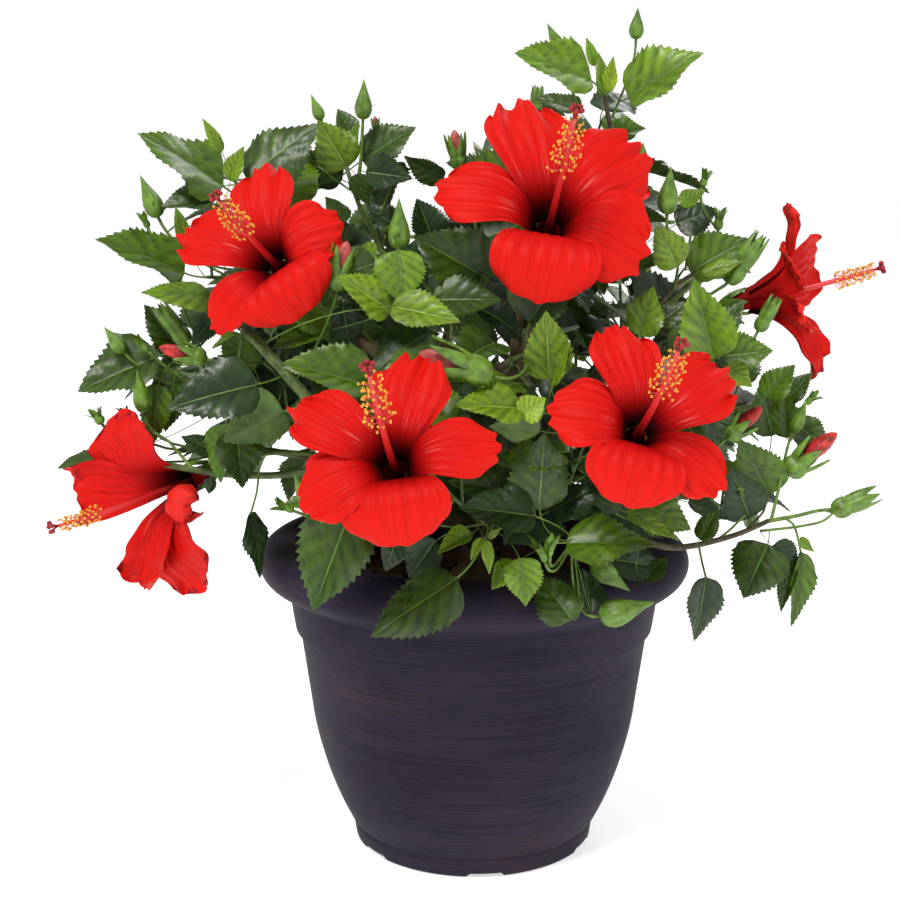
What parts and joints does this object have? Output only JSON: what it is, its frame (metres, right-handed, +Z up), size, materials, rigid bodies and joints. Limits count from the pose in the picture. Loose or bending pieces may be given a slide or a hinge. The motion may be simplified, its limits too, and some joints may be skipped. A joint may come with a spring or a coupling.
{
  "type": "potted hibiscus shrub",
  "caption": "Potted hibiscus patio shrub: short woody trunk, spreading boughs, toothed leaves, buds and large red open blooms in a dark bell pot with a rolled rim.",
  "frame": {"origin": "centre of the pot's flat underside", "axes": "+Z up, the way the plant grows; -Y towards the side that carries most of the open blooms; +X to the right seen from that side"},
  "size_m": [0.5134, 0.4745, 0.5156],
  "materials": {
    "pot_plastic": "dark purple-grey moulded plastic, satin, with faint brown brushed streaks and a paler sheen on the rim",
    "potting_mix": "moist dark peat and bark crumbs",
    "bark": "grey-brown bark with fine ridges and pale pores, greener towards the tips",
    "foliage": "glossy toothed green leaves with paler veins, young ones lime green",
    "bloom": "scarlet petals with a dark throat, silky, with a column of yellow stamens"
  },
  "bodies": {
    "root": {"pot": "pot_plastic", "potting_mix": "potting_mix", "trunk": "bark", "bough_front_left": "bark", "bough_front_right": "bark", "bough_left_mid": "bark", "bough_back_right": "bark", "bough_right_low": "bark", "bough_back_left": "bark", "bough_right_high": "bark", "bough_upper_left": "bark", "bough_top": "bark", "bough_centre": "bark", "bough_upper_mid": "bark", "bough_left_high": "bark", "bough_left_low": "bark", "bough_front_mid": "bark", "bough_centre_right": "bark", "bough_mid_right": "bark", "bough_right_mid": "bark", "bough_back_top": "bark", "bough_back_mid": "bark", "bough_back_low": "bark", "bough_back_low_left": "bark", "bough_back_low_right": "bark", "foliage_front_left": "foliage", "foliage_front_right": "foliage", "foliage_left_mid": "foliage", "foliage_back_right": "foliage", "foliage_right_low": "foliage", "foliage_back_left": "foliage", "foliage_right_high": "foliage", "foliage_upper_left": "foliage", "foliage_top": "foliage", "foliage_centre": "foliage", "foliage_upper_mid": "foliage", "foliage_left_high": "foliage", "foliage_left_low": "foliage", "foliage_front_mid": "foliage", "foliage_centre_right": "foliage", "foliage_mid_right": "foliage", "foliage_right_mid": "foliage", "foliage_back_top": "foliage", "foliage_back_mid": "foliage", "foliage_back_low": "foliage", "foliage_back_low_left": "foliage", "foliage_back_low_right": "foliage", "bloom_top": "bloom", "bloom_left": "bloom", "bloom_front": "bloom", "bloom_right": "bloom", "bloom_far_left": "bloom", "bloom_far_right": "bloom", "bloom_back_high": "bloom", "bloom_back_low": "bloom"}
  },
  "joints": []
}
